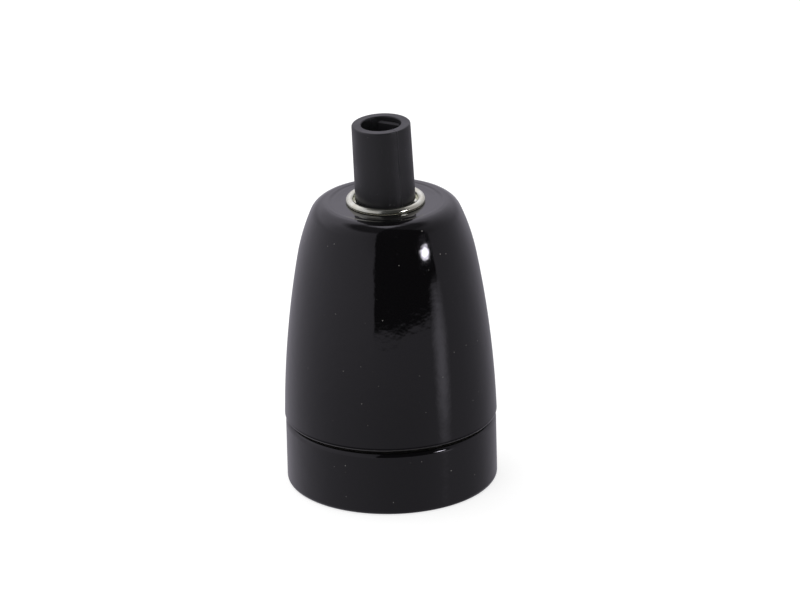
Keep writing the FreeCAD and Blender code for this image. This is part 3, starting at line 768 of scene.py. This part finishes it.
def studio_world(daylight):
    """White round the view, even light on matt surfaces, and a dim studio with lit patches in shiny ones."""
    world = bpy.data.worlds.new("Studio")
    bpy.context.scene.world = world
    world.use_nodes = True
    tree = world.node_tree
    tree.nodes.clear()
    level = studio_level(tree)
    tint = add(tree, "ShaderNodeCombineColor", {
        "Red": level, "Green": maths(tree, "MULTIPLY", level, GREEN_TINT),
        "Blue": maths(tree, "MULTIPLY", level, BLUE_TINT)})
    ray = add(tree, "ShaderNodeLightPath")
    shiny = add(tree, "ShaderNodeBackground", {"Color": tint.outputs[0], "Strength": 1.0})
    even = add(tree, "ShaderNodeBackground", {"Color": WHITE, "Strength": daylight})
    white = add(tree, "ShaderNodeBackground", {"Color": WHITE, "Strength": 1.0})
    lit = add(tree, "ShaderNodeMixShader",
              {0: ray.outputs["Is Glossy Ray"], 1: even.outputs[0], 2: shiny.outputs[0]})
    clear = either(tree, ray.outputs["Is Camera Ray"], ray.outputs["Is Transmission Ray"])
    seen = add(tree, "ShaderNodeMixShader", {0: clear, 1: lit.outputs[0], 2: white.outputs[0]})
    output = tree.nodes.new("ShaderNodeOutputWorld")
    tree.links.new(seen.outputs[0], output.inputs["Surface"])


def studio_floor():
    """Pale floor that keeps the holder's faint shadow."""
    marks = [FLOOR_HALF * (2 * i / FLOOR_STEPS - 1) for i in range(FLOOR_STEPS + 1)]
    vertices = [(x, y, 0.0) for y in marks for x in marks]
    mesh = bpy.data.meshes.new("floor")
    mesh.from_pydata(vertices, [], grid_faces(len(marks), len(marks)))
    floor = bpy.data.objects.new("floor", mesh)
    bpy.context.collection.objects.link(floor)
    material = bpy.data.materials.new("Pale floor")
    material.use_nodes = True
    tree = material.node_tree
    tree.nodes.clear()
    ray = add(tree, "ShaderNodeLightPath")
    paper = add(tree, "ShaderNodeBsdfDiffuse", {"Color": FLOOR_GREY})
    glow_share = either(
        tree, ray.outputs["Is Camera Ray"], ray.outputs["Is Glossy Ray"], ray.outputs["Is Transmission Ray"])
    glow = add(tree, "ShaderNodeEmission",
               {"Color": WHITE, "Strength": maths(tree, "MULTIPLY", glow_share, FLOOR_GLOW)})
    paper_and_glow = add(tree, "ShaderNodeAddShader", {0: paper.outputs[0], 1: glow.outputs[0]})
    one_sided = add(tree, "ShaderNodeMixShader", {
        0: add(tree, "ShaderNodeNewGeometry").outputs["Backfacing"], 1: paper_and_glow.outputs[0],
        2: tree.nodes.new("ShaderNodeBsdfTransparent").outputs[0]})
    output = tree.nodes.new("ShaderNodeOutputMaterial")
    tree.links.new(one_sided.outputs[0], output.inputs["Surface"])
    mesh.materials.append(material)
    floor.visible_glossy = False


def studio_lamp(name, place, size, power):
    """Soft square lamp that faces the holder."""
    light = bpy.data.lights.new(name, "AREA")
    light.size = size
    light.energy = power
    lamp = bpy.data.objects.new(name, light)
    lamp.location = place
    facing = Vector((0.0, 0.0, LAMP_AIM_HEIGHT)) - Vector(place)
    lamp.rotation_euler = facing.to_track_quat("-Z", "Y").to_euler()
    lamp.visible_glossy = False
    bpy.context.collection.objects.link(lamp)


def studio_camera(studio):
    """Camera above the floor, looking down at the holder, slightly rolled."""
    rise, roll = studio.camera_height, studio.camera_roll
    back = Vector((0.0, -math.cos(rise), math.sin(rise)))
    level_right, level_up = Vector((1.0, 0.0, 0.0)), Vector((0.0, math.sin(rise), math.cos(rise)))
    right = math.cos(roll) * level_right - math.sin(roll) * level_up
    up = math.sin(roll) * level_right + math.cos(roll) * level_up
    aim = Vector((0.0, 0.0, AIM_HEIGHT)) + AIM_RIGHT * right + AIM_UP * up
    data = bpy.data.cameras.new("camera")
    data.lens = studio.camera_lens
    data.sensor_width = 36.0
    data.clip_end = 50.0
    camera = bpy.data.objects.new("camera", data)
    turn = Matrix((right, up, back)).transposed().to_4x4()
    camera.matrix_world = Matrix.Translation(aim + studio.camera_distance * back) @ turn
    bpy.context.collection.objects.link(camera)
    bpy.context.scene.camera = camera


class HOLDER_OT_studio(bpy.types.Operator):
    """Sets the floor, the light and the camera"""
    bl_idname = "holder.studio"
    bl_label = "Studio"

    def execute(self, context):
        studio = context.scene.holder_studio
        studio_world(studio.daylight)
        studio_floor()
        studio_lamp("overhead", (-0.5, 0.5, 1.2), size=1.0, power=4.0)
        studio_lamp("fill", (-1.0, -1.2, 0.8), size=0.8, power=3.0)
        studio_camera(studio)
        context.scene.view_settings.view_transform = "Standard"
        return {"FINISHED"}


class HOLDER_PT_panel(bpy.types.Panel):
    """Lists the holder's pieces and its studio"""
    bl_idname = "HOLDER_PT_panel"
    bl_label = "Lamp holder"
    bl_space_type = "VIEW_3D"
    bl_region_type = "UI"
    bl_category = "Lamp holder"

    def draw(self, context):
        scene = context.scene
        for settings in (scene.holder_sizes, scene.holder_colours, scene.holder_studio):
            box = self.layout.box()
            for name in settings.__annotations__:
                box.prop(settings, name)
        for operator in OPERATORS:
            self.layout.operator(operator.bl_idname)


SETTINGS = (("holder_sizes", HolderSizes), ("holder_colours", HolderColours),
            ("holder_studio", StudioSettings))
OPERATORS = (HOLDER_OT_body, HOLDER_OT_insert, HOLDER_OT_shell, HOLDER_OT_terminals, HOLDER_OT_screws,
             HOLDER_OT_bush, HOLDER_OT_grip, HOLDER_OT_studio)


def register():
    for name, settings in SETTINGS:
        bpy.utils.register_class(settings)
        setattr(bpy.types.Scene, name, bpy.props.PointerProperty(type=settings))
    for operator in OPERATORS:
        bpy.utils.register_class(operator)
    bpy.utils.register_class(HOLDER_PT_panel)


def unregister():
    bpy.utils.unregister_class(HOLDER_PT_panel)
    for operator in reversed(OPERATORS):
        bpy.utils.unregister_class(operator)
    for name, settings in reversed(SETTINGS):
        delattr(bpy.types.Scene, name)
        bpy.utils.unregister_class(settings)


def main():
    register()
    bpy.ops.holder.body()
    bpy.ops.holder.insert()
    bpy.ops.holder.shell()
    bpy.ops.holder.terminals()
    bpy.ops.holder.screws()
    bpy.ops.holder.bush()
    bpy.ops.holder.grip()
    bpy.ops.holder.studio()


if __name__ == "__main__":
    main()
